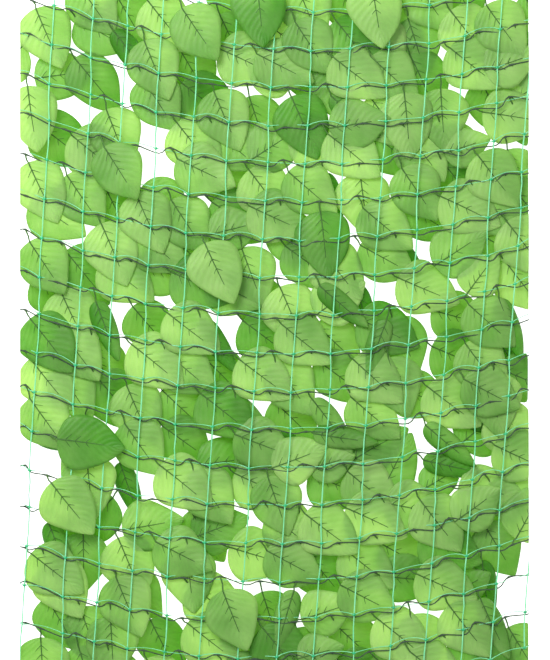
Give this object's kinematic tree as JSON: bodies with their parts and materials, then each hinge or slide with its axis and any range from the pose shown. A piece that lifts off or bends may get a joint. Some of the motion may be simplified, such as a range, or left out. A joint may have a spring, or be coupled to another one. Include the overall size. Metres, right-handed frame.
{
  "type": "artificial hedge screen",
  "caption": "Length of artificial hedge screen: strings of green cloth leaves on dark stems, laced behind a mint green plastic net.",
  "frame": {"origin": "centre of the screen's outline, at the height of the lowest leaf tips", "axes": "+X to the right and +Y up across the screen as seen from its net side, +Z out of its net side; the screen lies on its leaves"},
  "size_m": [0.662, 0.9892, 0.0415],
  "materials": {
    "net": "moulded mint green net with a slight gloss",
    "leaf": "satin leaf cloth on dark grey green moulded stems"
  },
  "bodies": {
    "root": {"net": "net", "vine_01": "leaf", "vine_02": "leaf", "vine_03": "leaf", "vine_04": "leaf", "vine_05": "leaf", "vine_06": "leaf", "vine_07": "leaf", "vine_08": "leaf", "vine_09": "leaf", "vine_10": "leaf", "vine_11": "leaf", "vine_12": "leaf", "vine_13": "leaf", "vine_14": "leaf", "vine_15": "leaf", "vine_16": "leaf", "vine_17": "leaf", "vine_18": "leaf", "vine_19": "leaf"}
  },
  "joints": []
}
